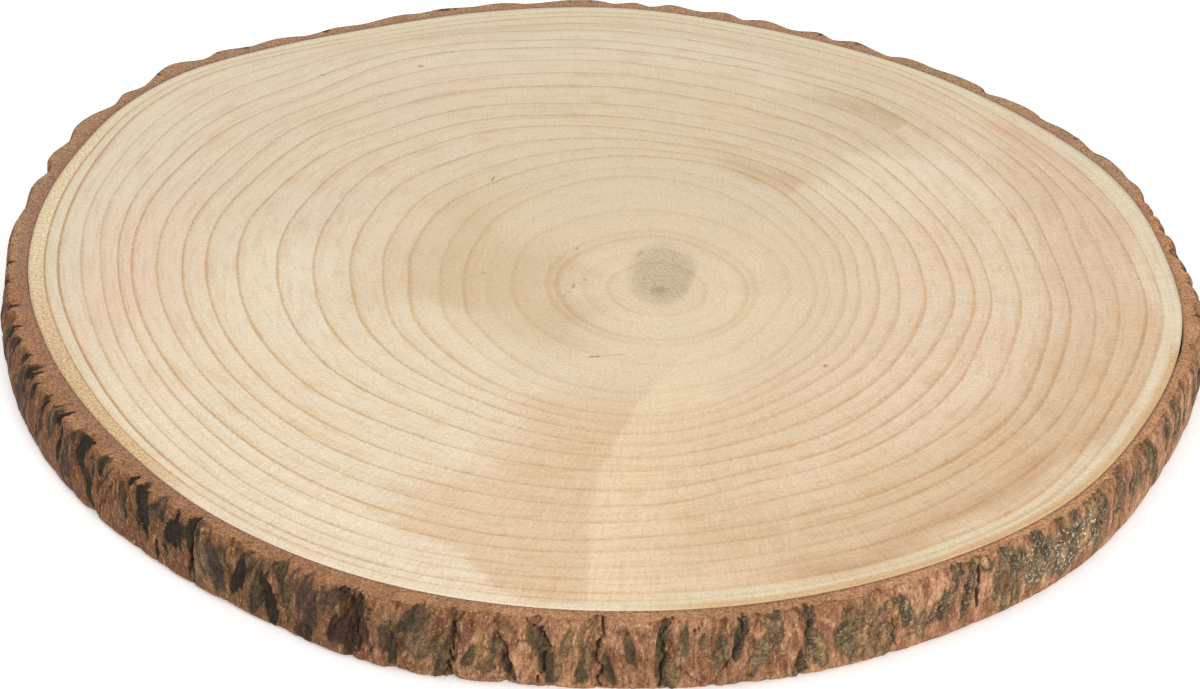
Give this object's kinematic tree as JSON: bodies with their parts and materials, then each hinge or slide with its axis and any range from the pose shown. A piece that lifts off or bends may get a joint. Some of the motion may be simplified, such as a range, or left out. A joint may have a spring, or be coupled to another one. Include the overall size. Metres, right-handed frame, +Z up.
{
  "type": "wood slice",
  "caption": "Flat slice cut across a tree trunk, with growth rings on its sawn faces and a ring of rough bark round its edge.",
  "frame": {"origin": "on the sawn underside, at the middle of the outline", "axes": "+Z up through the thickness, -Y towards the side that the picture shows nearest"},
  "size_m": [0.3476, 0.347, 0.02],
  "materials": {
    "wood": "sawn, bare",
    "bark": "rough, fissured"
  },
  "bodies": {
    "root": {"wood": "wood", "bark": "bark"}
  },
  "joints": []
}
